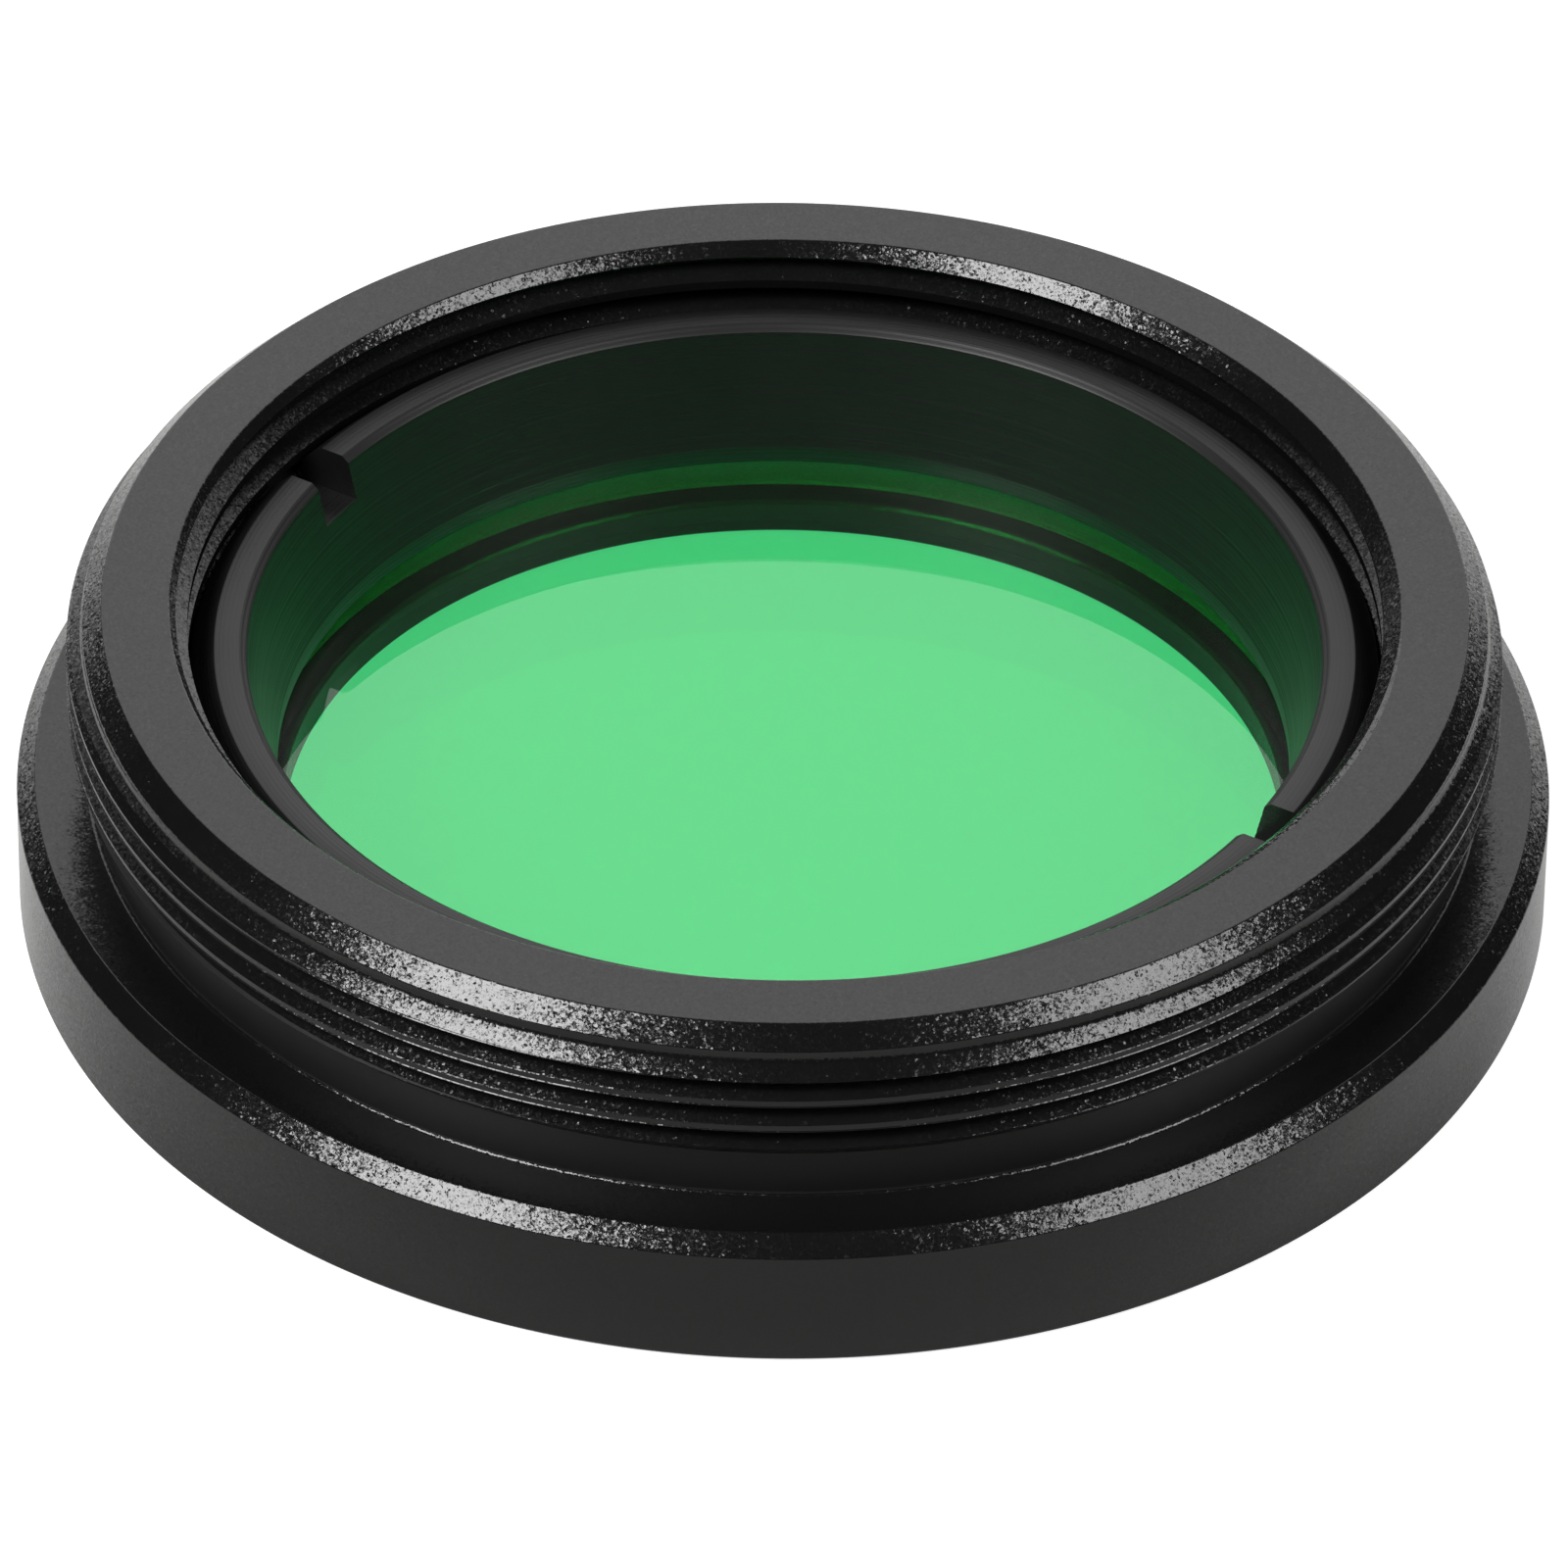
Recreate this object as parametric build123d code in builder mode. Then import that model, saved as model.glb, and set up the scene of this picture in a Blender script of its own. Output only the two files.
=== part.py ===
"""Colour filter that screws into a telescope eyepiece: a turned cell, a green glass disc and the ring above it.

Millimetres, +Z up. The flat face of the flange lies on Z = 0, and the threaded spigot points up.
"""
import os
from math import isclose

from build123d import *

# Spigot thread, right-hand. It is drawn as rings one pitch apart, the lowest with its middle just above the foot
thread_diameter = 28.5
thread_pitch = 0.6
thread_length = 1.6
groove_count = 3
first_groove_height = 0.233

# Groove between the thread and the flange
neck_depth = 0.45
neck_height = 1.5
neck_fillet = 0.12

# Plain start of the spigot above the thread, turned to the thread's root
pilot_height = 0.175
rim_chamfer = 0.4

# Flange that the fingers hold, and how far it stands out past the thread
flange_overhang = 1.05
flange_height = 2.9
flange_chamfer = 0.37
edge_break = 0.08

# Inner thread for the retaining ring, drawn plain at its crests, and the wall between the two threads
spigot_wall = 2.0
inner_thread_pitch = 0.75
mouth_chamfer = 0.356
bore_below_glass_top = 0.3

# Seat for the glass: the step in from the bore, and the lip that the glass lies on
seat_step = 1.044
lip_width = 0.7
lip_thickness = 0.8

# Glass disc
glass_thickness = 2.0
glass_bevel = 0.12
glass_clearance = 0.1

# Retaining ring, bored to a taper with a short straight land where it meets the glass
ring_height = 3.0
ring_play = 0.03
ring_bevel = 0.489
ring_crown = 0.495
ring_mouth_chamfer = 0.13
ring_taper = 0.6
ring_land_height = 0.4
ring_foot_chamfer = 0.15

# Pair of slots across the ring for a spanner, and the bearing at which the tightened ring stopped
slot_width = 1.1
slot_depth = 0.95
slot_bearing = 149.0

# A metric thread's root lies this share of the pitch inside its crest, measured on the radius. Along the axis, a
# groove's mouth takes seven eighths of the pitch and its root a quarter, which makes a V of 60 degrees
root_per_pitch = 0.5413
mouth_per_pitch = 7 / 8
root_flat_per_pitch = 1 / 4

# Radii that follow, from the outside in
thread_radius = thread_diameter / 2
flange_radius = thread_radius + flange_overhang
neck_radius = thread_radius - neck_depth
pilot_radius = thread_radius - root_per_pitch * thread_pitch
bore_radius = thread_radius - spigot_wall - root_per_pitch * inner_thread_pitch
seat_radius = bore_radius - seat_step
glass_radius = seat_radius - glass_clearance
aperture_radius = glass_radius - lip_width
ring_radius = bore_radius - ring_play
ring_mouth_radius = ring_radius - ring_bevel - ring_crown - ring_mouth_chamfer
ring_land_radius = ring_mouth_radius - ring_taper

# Half the width of a thread groove at its mouth and at its root, and how far the cut goes on past the crest
half_mouth = mouth_per_pitch * thread_pitch / 2
half_root = root_flat_per_pitch * thread_pitch / 2
groove_overcut = thread_pitch / 6

# Heights that follow, from the flange up
thread_foot = flange_height + neck_height
thread_top = thread_foot + thread_length
pilot_foot = thread_top + thread_radius - pilot_radius
rim_top = pilot_foot + pilot_height + rim_chamfer
glass_top = lip_thickness + glass_thickness
bore_floor = glass_top - bore_below_glass_top
ring_top = glass_top + ring_height


def round_edge(part, radius, height):
    """The circular edges of one radius at one height."""
    circles = part.edges().filter_by(GeomType.CIRCLE)
    return circles.filter_by(
        lambda edge: isclose(edge.radius, radius, abs_tol=1e-4) and isclose(edge.arc_center.Z, height, abs_tol=1e-4)
    )


# Cell: flange, neck, spigot, bore for the ring and seat for the glass, turned in one piece
with BuildPart() as filter_cell:
    with BuildSketch(Plane.XZ):
        with BuildLine():
            Polyline(
                (aperture_radius, 0),
                (flange_radius, 0),
                (flange_radius, flange_height),
                (neck_radius, flange_height),
                (neck_radius, thread_foot - neck_depth),
                (thread_radius, thread_foot),
                (thread_radius, thread_top),
                (pilot_radius, pilot_foot),
                (pilot_radius, rim_top),
                (bore_radius, rim_top),
                (bore_radius, bore_floor),
                (seat_radius, bore_floor),
                (seat_radius, lip_thickness),
                (aperture_radius, lip_thickness),
                close=True,
            )
        make_face()
    revolve(axis=Axis.Z)
    chamfer(round_edge(filter_cell, flange_radius, flange_height), flange_chamfer)
    chamfer(round_edge(filter_cell, flange_radius, 0), edge_break)
    chamfer(round_edge(filter_cell, pilot_radius, rim_top), rim_chamfer)
    chamfer(round_edge(filter_cell, bore_radius, rim_top), mouth_chamfer)
    chamfer(round_edge(filter_cell, aperture_radius, 0), edge_break)
    chamfer(round_edge(filter_cell, aperture_radius, lip_thickness), edge_break)
    fillet(round_edge(filter_cell, neck_radius, flange_height), neck_fillet)
    with BuildSketch(Plane.XZ):
        middles = [thread_foot + first_groove_height + turn * thread_pitch for turn in range(groove_count)]
        with Locations(*[(thread_radius, middle) for middle in middles]):
            Polygon(
                (groove_overcut, half_mouth),
                (0, half_mouth),
                (pilot_radius - thread_radius, half_root),
                (pilot_radius - thread_radius, -half_root),
                (0, -half_mouth),
                (groove_overcut, -half_mouth),
                align=None,
            )
    revolve(axis=Axis.Z, mode=Mode.SUBTRACT)
filter_cell.part.label = "filter_cell"

# Glass: a polished disc with a ground rim and a small bevel on both edges
with BuildPart() as green_glass:
    with BuildSketch(Plane.XY.offset(lip_thickness)):
        Circle(glass_radius)
    extrude(amount=glass_thickness)
    chamfer(green_glass.edges().filter_by(GeomType.CIRCLE), glass_bevel)
green_glass.part.label = "green_glass"

# Retaining ring: tapered bore, bevelled crown and two spanner slots in line
with BuildPart() as retaining_ring:
    with BuildSketch(Plane.XZ):
        with BuildLine():
            Polyline(
                (ring_land_radius, glass_top),
                (ring_radius, glass_top),
                (ring_radius, ring_top),
                (ring_mouth_radius, ring_top),
                (ring_land_radius, glass_top + ring_land_height),
                close=True,
            )
        make_face()
    revolve(axis=Axis.Z)
    chamfer(round_edge(retaining_ring, ring_radius, ring_top), ring_bevel)
    chamfer(round_edge(retaining_ring, ring_mouth_radius, ring_top), ring_mouth_chamfer)
    chamfer(round_edge(retaining_ring, ring_radius, glass_top), ring_foot_chamfer)
    with BuildSketch(Plane.XY.offset(ring_top)):
        Rectangle(2 * bore_radius, slot_width, rotation=slot_bearing)
    extrude(amount=-slot_depth, mode=Mode.SUBTRACT)
retaining_ring.part.label = "retaining_ring"

os.makedirs("parts", exist_ok=True)
export_step(filter_cell.part, "parts/filter_cell.step")
export_step(green_glass.part, "parts/green_glass.step")
export_step(retaining_ring.part, "parts/retaining_ring.step")

print("height", round(rim_top, 3), "ring below rim", round(rim_top - ring_top, 3))
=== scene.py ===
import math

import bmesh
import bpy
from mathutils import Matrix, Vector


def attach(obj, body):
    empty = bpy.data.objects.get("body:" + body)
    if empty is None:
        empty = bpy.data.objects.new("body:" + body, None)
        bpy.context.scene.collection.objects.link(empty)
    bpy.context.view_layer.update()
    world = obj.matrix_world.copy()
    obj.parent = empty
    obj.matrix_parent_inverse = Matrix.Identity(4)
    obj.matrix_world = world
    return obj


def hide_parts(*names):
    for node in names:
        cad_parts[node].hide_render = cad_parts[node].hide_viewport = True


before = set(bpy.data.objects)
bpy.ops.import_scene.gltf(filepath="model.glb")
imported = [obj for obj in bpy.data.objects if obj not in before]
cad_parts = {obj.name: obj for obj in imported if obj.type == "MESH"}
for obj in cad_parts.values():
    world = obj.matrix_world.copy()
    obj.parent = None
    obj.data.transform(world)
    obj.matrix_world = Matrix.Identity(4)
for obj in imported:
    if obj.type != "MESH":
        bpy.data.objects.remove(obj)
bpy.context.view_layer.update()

# %% [markdown]
# # A colour filter for a telescope eyepiece
#
# The part is small: 30.6 mm across and 6.9 mm high. A black anodised cell holds a disc of green glass, and
# a slotted ring, screwed in from above, keeps the glass in its seat. All three are turned parts, so nearly
# every shape here starts as a thin profile that is spun round the Z axis.
#
# The imported CAD model gives the frame.

MM = 0.001

# %% [markdown]
# ## The camera
#
# The photograph was taken from close by with a long lens, looking down at a little under 38 degrees. The
# circles of the rim, the flange and the glass were fitted to their ellipses in the picture, which gave the
# distance, the tilt and a slight roll. Setting the focal length from the frame's width in pixels keeps the
# frame exact.

# %% The camera
FRAME_PIXELS = 1600
FOCAL_PIXELS = 14147.7
CAMERA_PLACE = (0.018 * MM, -219.62 * MM, 171.46 * MM)
CAMERA_ELEVATION = math.radians(37.617)
CAMERA_ROLL = math.radians(0.693)

camera_data = bpy.data.cameras.new("camera")
camera_data.sensor_width = 36
camera_data.lens = FOCAL_PIXELS / FRAME_PIXELS * camera_data.sensor_width
camera_data.clip_start = 0.01
camera = bpy.data.objects.new("camera", camera_data)
tilt = Matrix.Rotation(math.pi / 2 - CAMERA_ELEVATION, 4, "X")
roll = Matrix.Rotation(CAMERA_ROLL, 4, "Z")
camera.matrix_world = Matrix.Translation(CAMERA_PLACE) @ tilt @ roll
bpy.context.collection.objects.link(camera)
bpy.context.scene.camera = camera
bpy.context.scene.view_settings.view_transform = "Standard"
print("camera lens", round(camera_data.lens, 2), "mm, at", [round(v, 4) for v in camera.location])

# %% [markdown]
# ## Helpers for materials
#
# Colours are written the way a picture editor shows them, as sRGB hex values, and Blender wants linear
# numbers. One function turns the one into the other. Another adds a node with its settings and its links in
# one line, so that a material reads from top to bottom like a recipe. The third turns a real size into a
# texture's scale.

# %% Helpers for materials
def colour(hex_value):
    """The linear colour of an sRGB hex value such as 1C1C1D."""
    channels = [int(hex_value[start:start + 2], 16) / 255 for start in (0, 2, 4)]
    linear = [c / 12.92 if c <= 0.04045 else ((c + 0.055) / 1.055) ** 2.4 for c in channels]
    return (*linear, 1.0)


def add_node(tree, kind, links=None, **settings):
    """Adds one node. The settings are its properties, and the links give its inputs a value or a socket."""
    node = tree.nodes.new(kind)
    for name, value in settings.items():
        setattr(node, name, value)
    for name, value in (links or {}).items():
        if isinstance(value, bpy.types.NodeSocket):
            tree.links.new(value, node.inputs[name])
        else:
            node.inputs[name].default_value = value
    return node


def per_mm(size):
    """The texture scale at which one cell of the pattern is this many millimetres wide."""
    return 1 / (size * MM)


def new_material(name):
    """An empty material, with its node tree and its output node."""
    material = bpy.data.materials.new(name)
    material.use_nodes = True
    material.node_tree.nodes.clear()
    output = add_node(material.node_tree, "ShaderNodeOutputMaterial")
    return material, material.node_tree, output


print("colour check, 808080 is linear", round(colour("808080")[0], 3))

# %% [markdown]
# ## The studio
#
# The filter stands on a white sheet that rises behind it, in a room that is otherwise dark. Two soft lamps
# stand to the left and the right of the camera, and they make the glittering patches on the bevels. A third
# one, wide and faint, is the brightest part of the sheet behind, which the flat faces mirror.
#
# The floor and the world are pure white to the camera and through the glass. A ray that left a glossy surface
# sees the sheet too, but only where it is: behind the part, and fading out to both sides and above.

# %% The world
WHITE = colour("FFFFFF")
ROOM = colour("303032")

world = bpy.data.worlds.new("studio")
bpy.context.scene.world = world
world.use_nodes = True
tree = world.node_tree
tree.nodes.clear()
light_path = add_node(tree, "ShaderNodeLightPath")
direction = add_node(tree, "ShaderNodeTexCoord")
towards = add_node(tree, "ShaderNodeSeparateXYZ", {"Vector": direction.outputs["Generated"]})
# The sheet reaches about 35 degrees to either side of straight behind, and about 60 degrees up. The two
# pairs are where it is gone and where it is full, as the sideways and the backward part of the direction
SHEET_SIDE = (0.75, 0.42)
SHEET_TOP = (0.35, 0.55)
aside = add_node(tree, "ShaderNodeMath", {0: towards.outputs["X"]}, operation="ABSOLUTE")
wide = add_node(tree, "ShaderNodeMapRange", {"Value": aside.outputs[0], "From Min": SHEET_SIDE[0],
                                             "From Max": SHEET_SIDE[1]}, interpolation_type="SMOOTHSTEP")
high = add_node(tree, "ShaderNodeMapRange", {"Value": towards.outputs["Y"], "From Min": SHEET_TOP[0],
                                             "From Max": SHEET_TOP[1]}, interpolation_type="SMOOTHSTEP")
sheet_seen = add_node(tree, "ShaderNodeMath", {0: wide.outputs["Result"], 1: high.outputs["Result"]},
                      operation="MULTIPLY")
glossy = add_node(tree, "ShaderNodeMath", {0: light_path.outputs["Is Glossy Ray"], 1: sheet_seen.outputs[0]},
                  operation="MULTIPLY")
straight = add_node(tree, "ShaderNodeMath", {0: light_path.outputs["Is Camera Ray"],
                                             1: light_path.outputs["Is Transmission Ray"]}, operation="ADD")
white = add_node(tree, "ShaderNodeMath", {0: straight.outputs[0], 1: glossy.outputs[0]}, operation="ADD",
                 use_clamp=True)
shade = add_node(tree, "ShaderNodeMix", {"Factor": white.outputs[0], "A": ROOM, "B": WHITE}, data_type="RGBA")
background = add_node(tree, "ShaderNodeBackground", {"Color": shade.outputs["Result"], "Strength": 1.0})
add_node(tree, "ShaderNodeOutputWorld", {"Surface": background.outputs[0]})
print("world nodes:", len(tree.nodes))


# %% The floor
# The share of the white that doesn't come from the lamps. Glossy faces see the paper fade from the lit level
# under the part to the dark one in front of it
PAPER_GLOW = 0.84
DARK_AT, DARK_LEVEL = -17 * MM, 0.02
LIT_AT, LIT_LEVEL = 6 * MM, 0.6


def floor_material():
    """White paper. Its light falls off towards the camera, because it comes from behind the part."""
    material, tree, output = new_material("white paper sweep")
    light_path = add_node(tree, "ShaderNodeLightPath")
    place = add_node(tree, "ShaderNodeTexCoord")
    grain = add_node(tree, "ShaderNodeTexNoise", {"Vector": place.outputs["Object"], "Scale": per_mm(0.4),
                                                  "Detail": 3.0})
    tone = add_node(tree, "ShaderNodeMix", {"Factor": grain.outputs[0], "A": colour("B4B4B2"),
                                            "B": colour("BEBEBC")}, data_type="RGBA")
    paper = add_node(tree, "ShaderNodeBsdfDiffuse", {"Color": tone.outputs["Result"]})
    across = add_node(tree, "ShaderNodeSeparateXYZ", {"Vector": place.outputs["Object"]})
    lit = add_node(tree, "ShaderNodeMapRange", {"Value": across.outputs["Y"],
                                                "From Min": DARK_AT, "From Max": LIT_AT,
                                                "To Min": DARK_LEVEL, "To Max": LIT_LEVEL})
    glossy = add_node(tree, "ShaderNodeMath", {0: light_path.outputs["Is Glossy Ray"],
                                               1: lit.outputs["Result"]}, operation="MULTIPLY")
    seen = add_node(tree, "ShaderNodeMath", {0: light_path.outputs["Is Camera Ray"], 1: PAPER_GLOW,
                                             2: glossy.outputs[0]}, operation="MULTIPLY_ADD")
    through = add_node(tree, "ShaderNodeMath", {0: light_path.outputs["Is Transmission Ray"],
                                                1: seen.outputs[0]}, operation="ADD", use_clamp=True)
    glow = add_node(tree, "ShaderNodeEmission", {"Color": WHITE, "Strength": through.outputs[0]})
    both = add_node(tree, "ShaderNodeAddShader", {0: paper.outputs[0], 1: glow.outputs[0]})
    tree.links.new(both.outputs[0], output.inputs["Surface"])
    return material


# Half the sheet's width in metres, and a hair's breadth under the part, so that the two faces never coincide
SHEET_HALF = 1.5
HAIR = 0.01 * MM
floor_mesh = bmesh.new()
bmesh.ops.create_grid(floor_mesh, x_segments=1, y_segments=1, size=SHEET_HALF,
                      matrix=Matrix.Translation((0, 0, -HAIR)))
floor_data = bpy.data.meshes.new("floor")
floor_mesh.to_mesh(floor_data)
floor_mesh.free()
floor = bpy.data.objects.new("floor", floor_data)
floor.data.materials.append(floor_material())
bpy.context.collection.objects.link(floor)
print("floor", [round(v, 2) for v in floor.dimensions], "m")


# %% The lamps
def soft_lamp(name, azimuth, elevation, distance, width, height, radiance):
    """An area lamp that faces the part. Azimuth 0 is straight behind it and 90 to the right, in degrees."""
    data = bpy.data.lights.new(name, "AREA")
    data.shape = "RECTANGLE"
    data.size = width
    data.size_y = height
    data.energy = math.pi * radiance * width * height
    lamp = bpy.data.objects.new(name, data)
    turn, rise = math.radians(azimuth), math.radians(elevation)
    level = math.cos(rise)
    place = Vector((math.sin(turn) * level, math.cos(turn) * level, math.sin(rise))) * distance
    lamp.matrix_world = Matrix.Translation(place) @ place.to_track_quat("Z", "Y").to_matrix().to_4x4()
    lamp.visible_camera = False
    bpy.context.collection.objects.link(lamp)
    print(name, "at", [round(v, 2) for v in place], "m,", round(data.energy, 2), "W")


# Azimuth and elevation in degrees, then distance, width and height in metres, then radiance
soft_lamp("lamp_left", -127, 46, 0.5, 0.2, 0.2, 17.0)
soft_lamp("lamp_right", 117, 43, 0.5, 0.2, 0.2, 9.0)
soft_lamp("lamp_sheet", 0, 24, 0.6, 0.8, 0.6, 0.4)

# %% [markdown]
# ## Turning a shape
#
# A lathe part is its profile, swept once round the axis. We give the corners of the profile in millimetres,
# join them, round the corners a little with a vertex bevel, and spin them. The tiny rounding matters: no
# real edge is perfectly sharp, and it is these edges that catch the light and draw the bright lines in the
# photograph.

# %% Helpers for turned shapes
STEPS = 480
ROUNDING = 0.02


def joined(bm, corners):
    """Joins the corners, (radius, height) in millimetres, to a closed loop in the XZ plane."""
    verts = [bm.verts.new((radius * MM, 0, height * MM)) for radius, height in corners]
    edges = [bm.edges.new(pair) for pair in zip(verts, verts[1:] + verts[:1])]
    return verts, edges


def verts_at(bm, corners):
    """The vertices of a profile that stand at these corners."""
    return [vert for vert in bm.verts
            if any(math.dist((vert.co.x, vert.co.z), (r * MM, z * MM)) < 1e-5 * MM for r, z in corners)]


def round_off(bm, verts, reach, segments):
    """Rounds corners of a profile. The reach is how far the rounding runs along each side, in millimetres."""
    bmesh.ops.bevel(bm, geom=verts, offset=reach * MM, segments=segments, profile=0.5, affect="VERTICES",
                    material=-1)


def turned(corners, rounding, kept=(), fillets=()):
    """Spins a profile once round Z. All its corners are rounded, but not the kept ones.

    A fillet is a corner with a wider rounding: the corner, its reach and its number of segments.
    """
    bm = bmesh.new()
    joined(bm, corners)
    for corner, reach, segments in fillets:
        round_off(bm, verts_at(bm, [corner]), reach, segments)
    done = list(kept) + [corner for corner, reach, segments in fillets]
    round_off(bm, verts_at(bm, [corner for corner in corners if corner not in done]), rounding, 2)
    bmesh.ops.spin(bm, geom=bm.verts[:] + bm.edges[:], cent=(0, 0, 0), axis=(0, 0, 1), dvec=(0, 0, 0),
                   angle=2 * math.pi, steps=STEPS, use_merge=True)
    bmesh.ops.recalc_face_normals(bm, faces=bm.faces[:])
    return bm


def add_piece(bm, name):
    """Makes an object of the bmesh."""
    mesh = bpy.data.meshes.new(name)
    bm.to_mesh(mesh)
    bm.free()
    piece = bpy.data.objects.new(name, mesh)
    bpy.context.collection.objects.link(piece)
    return piece


def apply_modifiers(piece):
    """Puts the result of the piece's modifiers into its mesh."""
    graph = bpy.context.evaluated_depsgraph_get()
    result = bpy.data.meshes.new_from_object(piece.evaluated_get(graph))
    piece.modifiers.clear()
    old = piece.data
    piece.data = result
    bpy.data.meshes.remove(old)


def cut_away(piece, cutter):
    """Takes the cutter's volume out of the piece and removes the cutter."""
    modifier = piece.modifiers.new("cut", "BOOLEAN")
    modifier.operation = "DIFFERENCE"
    modifier.solver = "EXACT"
    modifier.object = cutter
    apply_modifiers(piece)
    bpy.data.objects.remove(cutter)


def shade_smooth(piece, sharp_above=12):
    """Smooth shading round the axis. Edges that turn by more than these degrees stay crisp."""
    mesh = piece.data
    mesh.polygons.foreach_set("use_smooth", [True] * len(mesh.polygons))
    mesh.set_sharp_from_angle(angle=math.radians(sharp_above))
    modifier = piece.modifiers.new("weighted", "WEIGHTED_NORMAL")
    modifier.mode = "FACE_AREA"
    modifier.weight = 100
    modifier.keep_sharp = True
    apply_modifiers(piece)


def report(piece):
    """Prints the piece's size, its triangles and how many edges don't join exactly two faces."""
    bm = bmesh.new()
    bm.from_mesh(piece.data)
    triangles = sum(len(face.verts) - 2 for face in bm.faces)
    open_edges = sum(1 for edge in bm.edges if len(edge.link_faces) != 2)
    volume = bm.calc_volume() / MM ** 3
    heights = [vert.co.z / MM for vert in bm.verts]
    radii = [math.hypot(vert.co.x, vert.co.y) / MM for vert in bm.verts]
    bm.free()
    print(f"{piece.name}: radius {min(radii):.3f} to {max(radii):.3f} mm, height {min(heights):.3f} to "
          f"{max(heights):.3f} mm, {volume:.0f} mm3, {triangles} triangles, {open_edges} open edges")


# %% [markdown]
# ## Cutting a screw thread
#
# A thread is a V-shaped groove that climbs one pitch with each turn. The same spin operator makes it: its
# dvec moves the section a little along the axis at each step. The groove is made as a solid and taken away
# from the turned blank with a Boolean, the way a lathe tool takes it away from the bar. The groove's steps
# sit halfway between those of the blank, so that no two edges ever lie on each other, which is what upsets
# a Boolean most.

# %% A helper for thread grooves
def groove(name, side, pitch, height, bearing, turns):
    """A right-hand groove. It starts with its middle at this height and bearing, and climbs so many turns.

    The side runs from the groove's root to its mouth, as (radius, distance from the groove's middle).
    """
    bm = bmesh.new()
    lower = [(radius, height - offset) for radius, offset in side]
    upper = [(radius, height + offset) for radius, offset in reversed(side)]
    verts, edges = joined(bm, lower + upper)
    start = math.radians(bearing) + math.pi / STEPS
    bmesh.ops.rotate(bm, verts=verts, cent=(0, 0, 0), matrix=Matrix.Rotation(start, 3, "Z"))
    steps = round(turns * STEPS)
    bmesh.ops.spin(bm, geom=verts + edges, cent=(0, 0, 0), axis=(0, 0, 1), dvec=(0, 0, pitch * MM / STEPS),
                   angle=2 * math.pi * steps / STEPS, steps=steps)
    bmesh.ops.holes_fill(bm, edges=bm.edges[:], sides=2 * len(side))
    bmesh.ops.recalc_face_normals(bm, faces=bm.faces[:])
    return add_piece(bm, name)


# %% [markdown]
# ## The cell
#
# One turned piece of aluminium: a flange for the fingers, a groove where the thread runs out, the thread that
# screws into the eyepiece, and inside it a second, coarser thread for the ring and a seat for the glass.
#
# The outer thread is the standard one of small filters, 28.5 mm by 0.6 mm. A plain pilot as wide as the
# thread's root leads it in. Its bevel and the start of the thread are where the photograph shows them: at
# the front, the first crest fades out to the right.

# %% The cell's profile
CELL_PROFILE = [
    (10.00, 0.08), (10.08, 0.00), (15.22, 0.00), (15.30, 0.08),
    (15.30, 2.53), (14.93, 2.90), (13.80, 2.90),
    (13.80, 3.95), (14.25, 4.40), (14.25, 6.00), (13.925, 6.325), (13.925, 6.50), (13.525, 6.90),
    (12.20, 6.90), (11.844, 6.544), (11.844, 2.50), (10.80, 2.50), (10.80, 0.80), (10.08, 0.80),
    (10.00, 0.72),
]
# The nose of the tool left a fillet at the foot of the neck and another where the pilot meets its bevel
CELL_FILLETS = [((13.80, 2.90), 0.12, 8), ((13.925, 6.325), 0.09, 4)]
filter_cell = add_piece(turned(CELL_PROFILE, ROUNDING, fillets=CELL_FILLETS), "filter_cell_turned")
report(filter_cell)

# %% The threads
OUTER_PITCH = 0.6
INNER_PITCH = 0.75
# The flanks stand at 60 degrees to each other. The crest has a shallow hollow between two lips, where the
# blasting turned its edges over, and the lips draw the two fine lines that each turn shows in the
# photograph
OUTER_SIDE = [(13.93, 0.03), (14.235, 0.206), (14.252, 0.227), (14.45, 0.227)]
CREST_SIDE = [(14.235, 0.055), (14.30, 0.12)]
INNER_SIDE = [(12.25, 0.047), (11.70, 0.364)]
# The height of one turn's middle: at the front for the outer groove, and behind on the left for the inner one
FRONT = -90
FRONT_GROOVE = 5.195
BACK_LEFT = 130
BACK_GROOVE = 6.50
# Name, side, pitch, the start's height and bearing, and how many turns
GROOVES = [
    ("outer_groove", OUTER_SIDE, OUTER_PITCH, FRONT_GROOVE - 2 * OUTER_PITCH, FRONT, 4.4),
    ("crest_hollow", CREST_SIDE, OUTER_PITCH, FRONT_GROOVE - 1.5 * OUTER_PITCH, FRONT, 3.4),
    ("inner_groove", INNER_SIDE, INNER_PITCH, BACK_GROOVE - 5 * INNER_PITCH, BACK_LEFT, 6.2),
]
for row in GROOVES:
    cut_away(filter_cell, groove(*row))
shade_smooth(filter_cell)
report(filter_cell)

# %% [markdown]
# ### Its finish: bead-blasted black anodised aluminium
#
# Blasting leaves tiny dimples, a few hundredths of a millimetre across, and the anodising over them is a
# clear oxide filled with black dye. So it is not shaded as bare metal: the light that it mirrors comes from
# the oxide's surface, as from a black glaze, and the dimples break each reflection into single sparks.
#
# A fine noise bump would blur into one smooth sheen. Here each cell of a Voronoi pattern is one dimple, and
# it leans the normal its own way, so that it mirrors a lamp as a whole or not at all.

# %% Bead-blasted anodising
# Sizes of the dimples in millimetres, with how steeply the steepest lean
DIMPLE, DIMPLE_LEAN = 0.05, 0.14
FINE_DIMPLE, FINE_LEAN = 0.026, 0.1
# Share of the lean that is left on level faces and on walls, and share and added roughness in the neck
FLAT_SHARE = 0.45
NECK_SHARE = 0.2
NECK_ROUGHER = 0.3
# The neck's middle and half its reach, by radius and by height
NECK_RADIUS, NECK_WIDE = 13.95 * MM, 0.25 * MM
NECK_HEIGHT, NECK_HIGH = 3.67 * MM, 0.71 * MM


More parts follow.
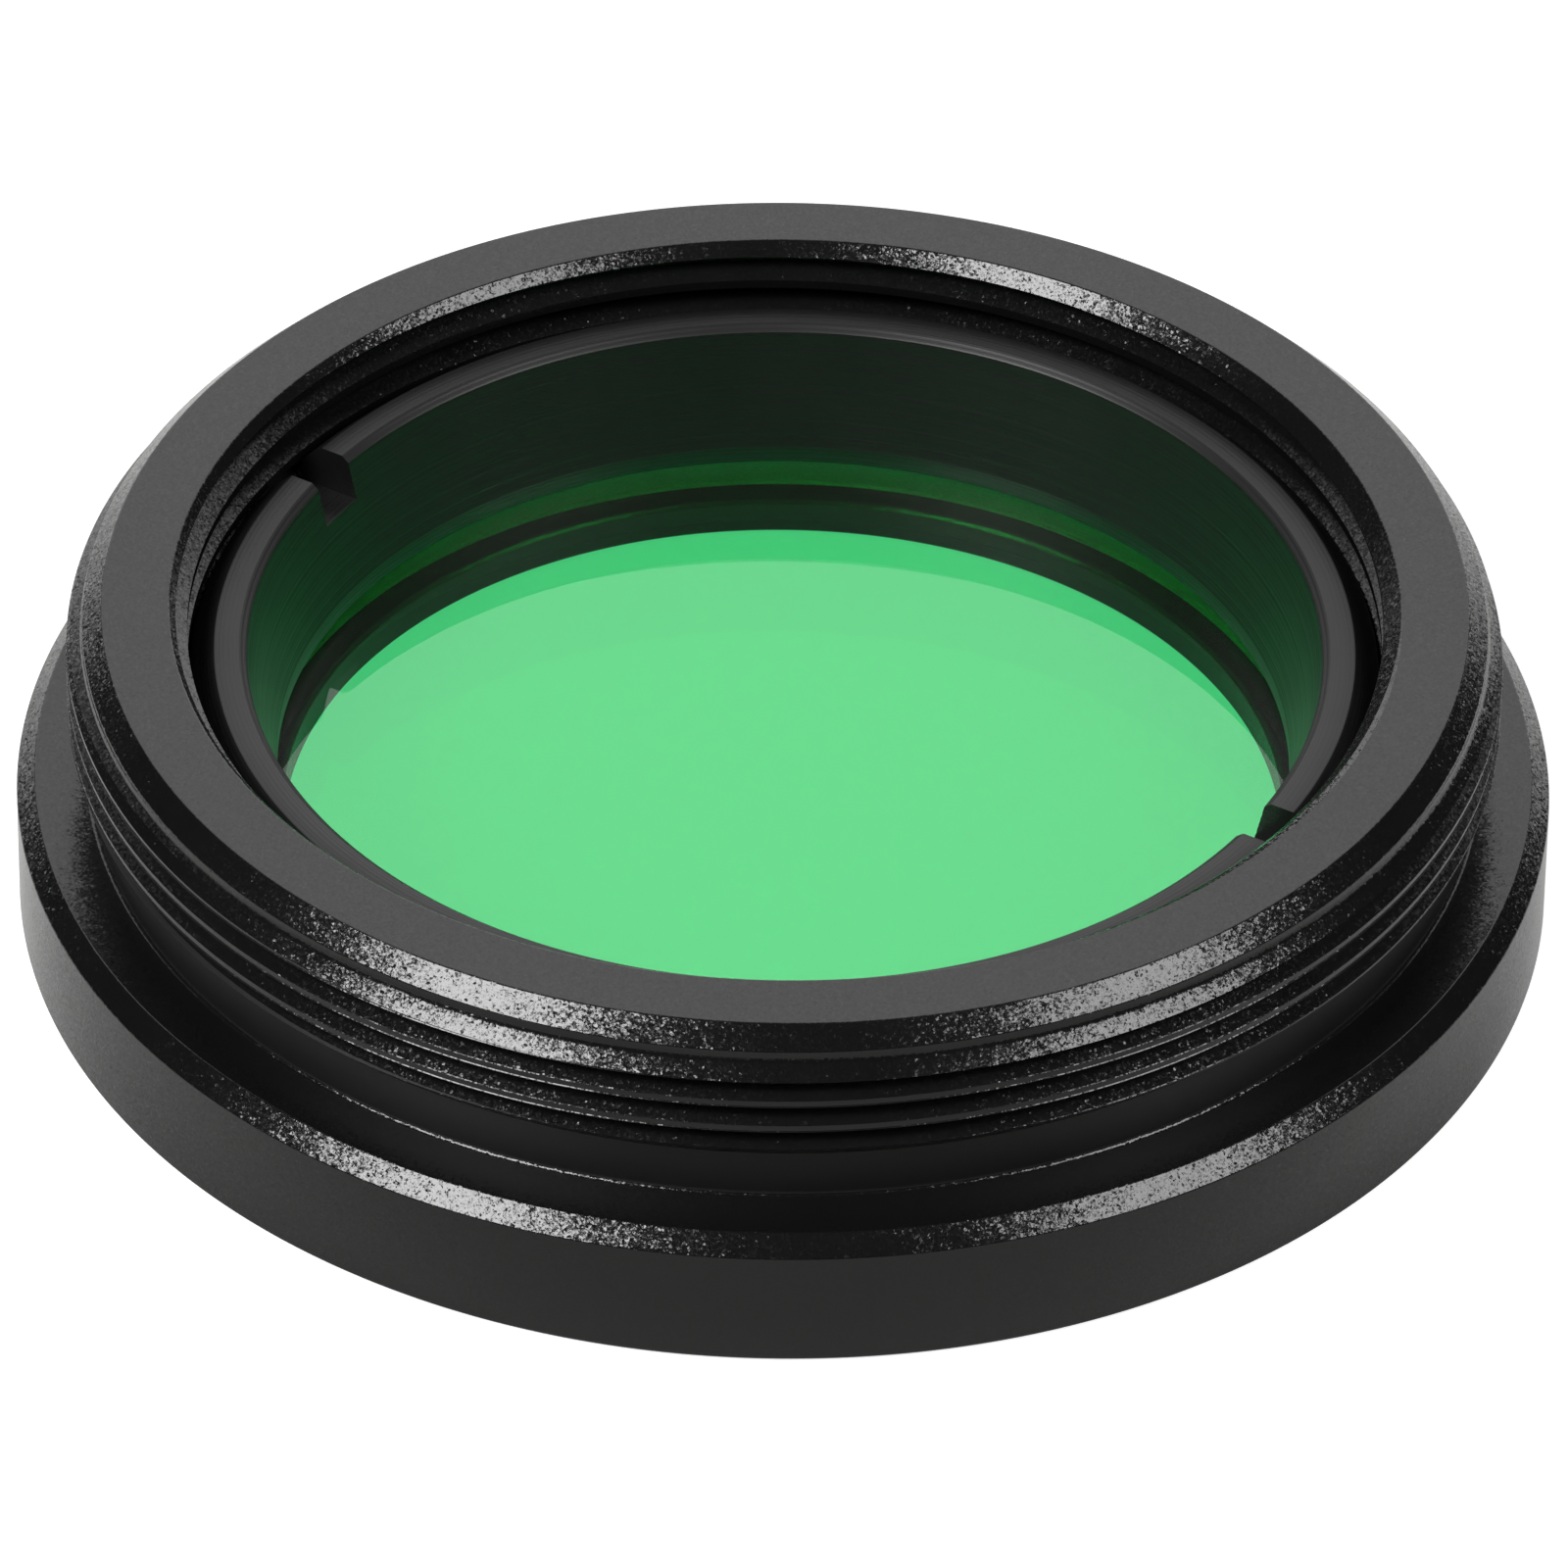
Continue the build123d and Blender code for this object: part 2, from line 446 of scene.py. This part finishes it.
def leaning(tree, place, size, steepest):
    """One random lean for each dimple of this size, to add to the normal. Most are slight, and few steep."""
    cells = add_node(tree, "ShaderNodeTexVoronoi", {"Vector": place, "Scale": per_mm(size)})
    lean = add_node(tree, "ShaderNodeVectorMath", {0: cells.outputs["Color"], 1: (0.5, 0.5, 0.5)},
                    operation="SUBTRACT")
    length = add_node(tree, "ShaderNodeVectorMath", {0: lean.outputs[0]}, operation="LENGTH")
    steep = add_node(tree, "ShaderNodeMath", {0: length.outputs["Value"], 1: 2 * steepest},
                     operation="MULTIPLY")
    return add_node(tree, "ShaderNodeVectorMath", {0: lean.outputs[0], "Scale": steep.outputs[0]},
                    operation="SCALE")


def blast_reach(tree, place, normal):
    """How much of their lean the dimples have at a place, and 1 where that place is in the neck."""
    # The beads bite most into the bevels. A level face has nz 1 and a wall has nz 0, so nz squared lies 0.5
    # away from 0.5 there, and less on slanted faces
    up = add_node(tree, "ShaderNodeSeparateXYZ", {"Vector": normal})
    squared = add_node(tree, "ShaderNodeMath", {0: up.outputs["Z"], 1: up.outputs["Z"]}, operation="MULTIPLY")
    slanted = add_node(tree, "ShaderNodeMath", {0: squared.outputs[0], 1: 0.5}, operation="SUBTRACT")
    flatness = add_node(tree, "ShaderNodeMath", {0: slanted.outputs[0]}, operation="ABSOLUTE")
    bite = add_node(tree, "ShaderNodeMapRange", {"Value": flatness.outputs[0], "From Min": 0.5,
                                                 "From Max": 0.25, "To Min": FLAT_SHARE, "To Max": 1.0})
    # The neck lies in the shadow of the blast
    sideways = add_node(tree, "ShaderNodeVectorMath", {0: place, 1: (1.0, 1.0, 0.0)}, operation="MULTIPLY")
    radius = add_node(tree, "ShaderNodeVectorMath", {0: sideways.outputs[0]}, operation="LENGTH")
    height = add_node(tree, "ShaderNodeSeparateXYZ", {"Vector": place})
    near = add_node(tree, "ShaderNodeMath", {0: radius.outputs["Value"], 1: NECK_RADIUS, 2: NECK_WIDE},
                    operation="COMPARE")
    level = add_node(tree, "ShaderNodeMath", {0: height.outputs["Z"], 1: NECK_HEIGHT, 2: NECK_HIGH},
                     operation="COMPARE")
    neck = add_node(tree, "ShaderNodeMath", {0: near.outputs[0], 1: level.outputs[0]}, operation="MULTIPLY")
    reached = add_node(tree, "ShaderNodeMath", {0: neck.outputs[0], 1: NECK_SHARE - 1, 2: 1.0},
                       operation="MULTIPLY_ADD")
    share = add_node(tree, "ShaderNodeMath", {0: bite.outputs[0], 1: reached.outputs[0]},
                     operation="MULTIPLY")
    return share.outputs[0], neck.outputs[0]


def blasted_material():
    """Black anodising over bead-blasted aluminium: a dark body, a satin gloss and sparkling dimples."""
    material, tree, output = new_material("bead-blasted black anodised aluminium")
    place = add_node(tree, "ShaderNodeTexCoord").outputs["Object"]
    normal = add_node(tree, "ShaderNodeNewGeometry").outputs["Normal"]
    share, neck = blast_reach(tree, place, normal)
    dimples = leaning(tree, place, DIMPLE, DIMPLE_LEAN)
    fine = leaning(tree, place, FINE_DIMPLE, FINE_LEAN)
    lean = add_node(tree, "ShaderNodeVectorMath", {0: dimples.outputs[0], 1: fine.outputs[0]},
                    operation="ADD")
    tilted = add_node(tree, "ShaderNodeVectorMath", {0: lean.outputs[0], 1: share, 2: normal},
                      operation="MULTIPLY_ADD")
    facing = add_node(tree, "ShaderNodeVectorMath", {0: tilted.outputs[0]}, operation="NORMALIZE")
    blotches = add_node(tree, "ShaderNodeTexNoise", {"Vector": place, "Scale": per_mm(1.3), "Detail": 3.0})
    tone = add_node(tree, "ShaderNodeMix", {"Factor": blotches.outputs[0], "A": colour("0E0E0F"),
                                            "B": colour("121211")}, data_type="RGBA")
    gloss = add_node(tree, "ShaderNodeMapRange", {"Value": blotches.outputs[0], "To Min": 0.17,
                                                  "To Max": 0.21})
    matt = add_node(tree, "ShaderNodeMath", {0: neck, 1: NECK_ROUGHER, 2: gloss.outputs[0]},
                    operation="MULTIPLY_ADD")
    shader = add_node(tree, "ShaderNodeBsdfPrincipled", {"Base Color": tone.outputs["Result"], "IOR": 1.5,
                                                         "Roughness": matt.outputs[0],
                                                         "Normal": facing.outputs[0]})
    tree.links.new(shader.outputs[0], output.inputs["Surface"])
    return material


filter_cell.data.materials.clear()
filter_cell.data.materials.append(blasted_material())
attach(filter_cell, "root")
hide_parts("filter_cell")
print("cell materials:", [material.name for material in filter_cell.data.materials])

# %% [markdown]
# ## The retaining ring
#
# The ring screws down on the glass. It is bored to a taper, so that it doesn't cut into the slanted light,
# and its bore still carries the tool's marks, fine rings about 0.16 mm apart. They are modelled: each mark
# is a shallow hollow in the profile before it is spun. Two slots in line take the spanner, and where the
# ring was tight they happened to stop at 149 degrees.

# %% The ring's profile
GLASS_TOP = 2.80
RING_TOP = 5.80
# What the glass leaves free below and above it, and the ring below it
PLAY = 0.01
RING_FOOT = GLASS_TOP + PLAY
TAPER_FOOT = (10.10, 3.20)
TAPER_TOP = (10.67, 5.67)
MARK_SPACING = 0.16


def tool_marks(foot, top, spacing):
    """Corners along a taper, from its foot to its top, with a hollow between each two of them."""
    length = math.dist(foot, top)
    count = round(length / spacing)
    corners = [foot]
    for index in range(count):
        # The hollows differ in depth, as the marks of a chattering tool do
        depth = 0.006 + 0.004 * math.sin(index * 2.4) + 0.002 * math.sin(index * 5.3 + 1)
        middle = (index + 0.5) / count
        end = (index + 1) / count
        corners.append((foot[0] + (top[0] - foot[0]) * middle + depth, foot[1] + (top[1] - foot[1]) * middle))
        corners.append((foot[0] + (top[0] - foot[0]) * end, foot[1] + (top[1] - foot[1]) * end))
    return corners


MARKED_TAPER = tool_marks(TAPER_FOOT, TAPER_TOP, MARK_SPACING)
RING_PROFILE = [(10.10, RING_FOOT)] + MARKED_TAPER + [
    (10.83, RING_TOP), (11.325, RING_TOP), (11.80, 5.325), (11.80, RING_FOOT),
]
ring = add_piece(turned(RING_PROFILE, ROUNDING, kept=MARKED_TAPER[1:]), "retaining_ring_turned")
print("profile corners:", len(RING_PROFILE))

# %% The spanner slots
SLOT_WIDTH = 1.1
SLOT_DEPTH = 0.95
SLOT_BEARING = math.radians(149)
CUTTER_LENGTH = 26
slot_bm = bmesh.new()
bmesh.ops.create_cube(slot_bm, size=1.0)
bmesh.ops.scale(slot_bm, verts=slot_bm.verts[:],
                vec=(CUTTER_LENGTH * MM, SLOT_WIDTH * MM, 2 * SLOT_DEPTH * MM))
bmesh.ops.rotate(slot_bm, verts=slot_bm.verts[:], cent=(0, 0, 0),
                 matrix=Matrix.Rotation(SLOT_BEARING, 3, "Z"))
bmesh.ops.translate(slot_bm, verts=slot_bm.verts[:], vec=(0, 0, RING_TOP * MM))
cut_away(ring, add_piece(slot_bm, "slot_cutter"))
shade_smooth(ring, sharp_above=28)
report(ring)

# %% [markdown]
# ### Its finish: turned black anodised aluminium
#
# The ring was not blasted. Its marks run round it, so the pattern must follow the turning: we take a
# point's distance from the axis and its height, and leave out its bearing. A noise read at those two
# numbers gives rings on the flat crown as well as in the bore.

# %% Turned anodising
def turned_material():
    """Black anodising over a turned surface: fine rings round the axis and a soft gloss."""
    material, tree, output = new_material("turned black anodised aluminium")
    place = add_node(tree, "ShaderNodeTexCoord").outputs["Object"]
    flat = add_node(tree, "ShaderNodeVectorMath", {0: place, 1: (1.0, 1.0, 0.0)}, operation="MULTIPLY")
    radius = add_node(tree, "ShaderNodeVectorMath", {0: flat.outputs[0]}, operation="LENGTH")
    height = add_node(tree, "ShaderNodeSeparateXYZ", {"Vector": place})
    section = add_node(tree, "ShaderNodeCombineXYZ", {"X": radius.outputs["Value"], "Z": height.outputs["Z"]})
    marks = add_node(tree, "ShaderNodeTexNoise", {"Vector": section.outputs[0], "Scale": per_mm(0.06),
                                                  "Detail": 2.0})
    blotches = add_node(tree, "ShaderNodeTexNoise", {"Vector": place, "Scale": per_mm(1.6), "Detail": 3.0})
    relief = add_node(tree, "ShaderNodeBump", {"Height": marks.outputs[0], "Strength": 1.0,
                                               "Distance": 0.012 * MM})
    tone = add_node(tree, "ShaderNodeMix", {"Factor": blotches.outputs[0], "A": colour("0E0E0F"),
                                            "B": colour("121211")}, data_type="RGBA")
    gloss = add_node(tree, "ShaderNodeMapRange", {"Value": blotches.outputs[0], "To Min": 0.4,
                                                  "To Max": 0.48})
    shader = add_node(tree, "ShaderNodeBsdfPrincipled", {"Base Color": tone.outputs["Result"], "IOR": 1.5,
                                                         "Roughness": gloss.outputs[0],
                                                         "Normal": relief.outputs[0]})
    tree.links.new(shader.outputs[0], output.inputs["Surface"])
    return material


ring.data.materials.clear()
ring.data.materials.append(turned_material())
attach(ring, "root")
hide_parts("retaining_ring")
print("ring materials:", [material.name for material in ring.data.materials])

# %% [markdown]
# ## The glass
#
# A flat disc, 21.4 mm across and 2 mm thick, polished on both faces and ground on its rim. It gets two
# materials: the faces are clear and green, and the rim is frosted, which shows as a pale green band inside
# the disc.
#
# The colour comes from the volume, not from the surface, so that a longer way through the glass is a deeper
# green.

# %% The glass disc
GLASS_RADIUS = 10.70
GLASS_FOOT = 0.80 + PLAY
GLASS_HEAD = GLASS_TOP - PLAY
GLASS_BEVEL = 0.12
glass_bm = bmesh.new()
bmesh.ops.create_circle(glass_bm, cap_ends=True, segments=STEPS, radius=GLASS_RADIUS * MM,
                        matrix=Matrix.Translation((0, 0, GLASS_FOOT * MM)))
raised = bmesh.ops.extrude_face_region(glass_bm, geom=glass_bm.faces[:], use_keep_orig=True)
raised_verts = [item for item in raised["geom"] if isinstance(item, bmesh.types.BMVert)]
bmesh.ops.translate(glass_bm, verts=raised_verts, vec=(0, 0, (GLASS_HEAD - GLASS_FOOT) * MM))
bmesh.ops.recalc_face_normals(glass_bm, faces=glass_bm.faces[:])
rims = [edge for edge in glass_bm.edges if abs(edge.verts[0].co.z - edge.verts[1].co.z) < 1e-7]
bmesh.ops.bevel(glass_bm, geom=rims, offset=GLASS_BEVEL * MM, segments=2, profile=0.5, affect="EDGES",
                material=-1)
for face in glass_bm.faces:
    face.material_index = 0 if abs(face.normal.z) > 0.999 else 1
glass = add_piece(glass_bm, "green_glass_disc")
shade_smooth(glass)
report(glass)


# %% Green filter glass, and its ground rim
def glass_material():
    """Polished green filter glass. Its colour is in the volume, and its surfaces only bend and mirror."""
    material, tree, output = new_material("polished green filter glass")
    surface = add_node(tree, "ShaderNodeBsdfPrincipled", {"Base Color": WHITE, "IOR": 1.52, "Roughness": 0.0,
                                                          "Transmission Weight": 0.993})
    body = add_node(tree, "ShaderNodeVolumeAbsorption", {"Color": (0.0, 0.796, 0.42, 1.0), "Density": 1245.0})
    tree.links.new(surface.outputs[0], output.inputs["Surface"])
    tree.links.new(body.outputs[0], output.inputs["Volume"])
    return material


def rim_material():
    """The rim of the disc, ground with fine grit: pale like frost, and it scatters what light it gets."""
    material, tree, output = new_material("ground glass rim")
    place = add_node(tree, "ShaderNodeTexCoord").outputs["Object"]
    grit = add_node(tree, "ShaderNodeTexNoise", {"Vector": place, "Scale": per_mm(0.08), "Detail": 2.0})
    tone = add_node(tree, "ShaderNodeMix", {"Factor": grit.outputs[0], "A": colour("9AA89C"),
                                            "B": colour("C2CCC2")}, data_type="RGBA")
    shader = add_node(tree, "ShaderNodeBsdfPrincipled", {"Base Color": tone.outputs["Result"],
                                                         "Roughness": 0.7})
    tree.links.new(shader.outputs[0], output.inputs["Surface"])
    return material


glass.data.materials.append(glass_material())
glass.data.materials.append(rim_material())
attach(glass, "root")
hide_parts("green_glass")
print("glass materials:", [material.name for material in glass.data.materials])
